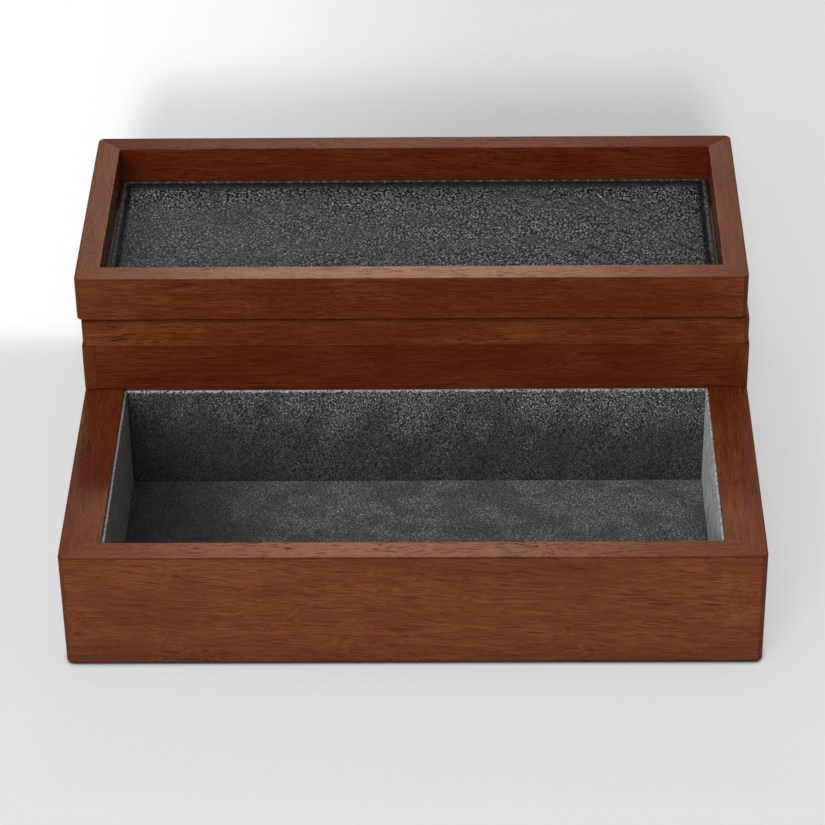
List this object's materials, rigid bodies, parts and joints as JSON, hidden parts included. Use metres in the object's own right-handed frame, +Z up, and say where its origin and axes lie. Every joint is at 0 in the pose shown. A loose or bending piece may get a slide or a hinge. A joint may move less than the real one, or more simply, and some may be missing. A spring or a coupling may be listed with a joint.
{
  "type": "valet box with drawer",
  "caption": "Wooden valet box: hinged lid with a recessed leather-lined tray, lined upper compartment, and a full-width suede-lined drawer below, shown pulled out.",
  "frame": {"origin": "centre of the case's underside, on the surface that the box stands on", "axes": "+X to the right of someone facing the drawer, +Y to the back, +Z up; drawer fully open along -Y, lid shut"},
  "size_m": [0.3065, 0.2643, 0.117],
  "materials": {
    "wood": "satin lacquer over mahogany stain",
    "panel": "thin stained plywood",
    "suede": "charcoal suede cloth",
    "felt": "dark felt",
    "leather": "pebbled black leather, stitched edge",
    "brass": "satin, aged"
  },
  "bodies": {
    "case": {"case_side_left": "wood", "case_side_right": "wood", "case_back": "wood", "riser_panel": "wood", "band_front": "wood", "band_back": "wood", "band_left": "wood", "band_right": "wood", "base_panel": "panel", "compartment_floor": "panel", "drawer_stop_left": "panel", "drawer_stop_right": "panel", "upper_liner_front": "suede", "upper_liner_back": "suede", "upper_liner_left": "suede", "upper_liner_right": "suede", "upper_liner_floor": "suede", "base_felt": "felt", "hinge_case_leaf_left": "brass", "hinge_case_leaf_right": "brass", "hinge_pin_left": "brass", "hinge_pin_right": "brass", "hinge_case_screws": "brass"},
    "drawer": {"drawer_front": "wood", "drawer_side_left": "wood", "drawer_side_right": "wood", "drawer_back": "wood", "drawer_bottom": "panel", "drawer_liner_front": "suede", "drawer_liner_back": "suede", "drawer_liner_left": "suede", "drawer_liner_right": "suede", "drawer_liner_floor": "suede"},
    "lid": {"lid_front": "wood", "lid_back": "wood", "lid_left": "wood", "lid_right": "wood", "lid_panel": "panel", "lid_lining": "suede", "lid_bumpers": "felt", "tray_pad": "leather", "hinge_lid_leaf_left": "brass", "hinge_lid_leaf_right": "brass", "hinge_lid_screws": "brass"}
  },
  "joints": [
    {"name": "drawer_slide", "type": "slide", "parent": "case", "child": "drawer", "axis": [0, 1, 0], "range_m": [0, 0.1169]},
    {"name": "lid_hinge", "type": "hinge", "parent": "case", "child": "lid", "pos_m": [0, 0.06685, 0.0952], "axis": [-1, 0, 0], "range_deg": [0, 100]}
  ]
}
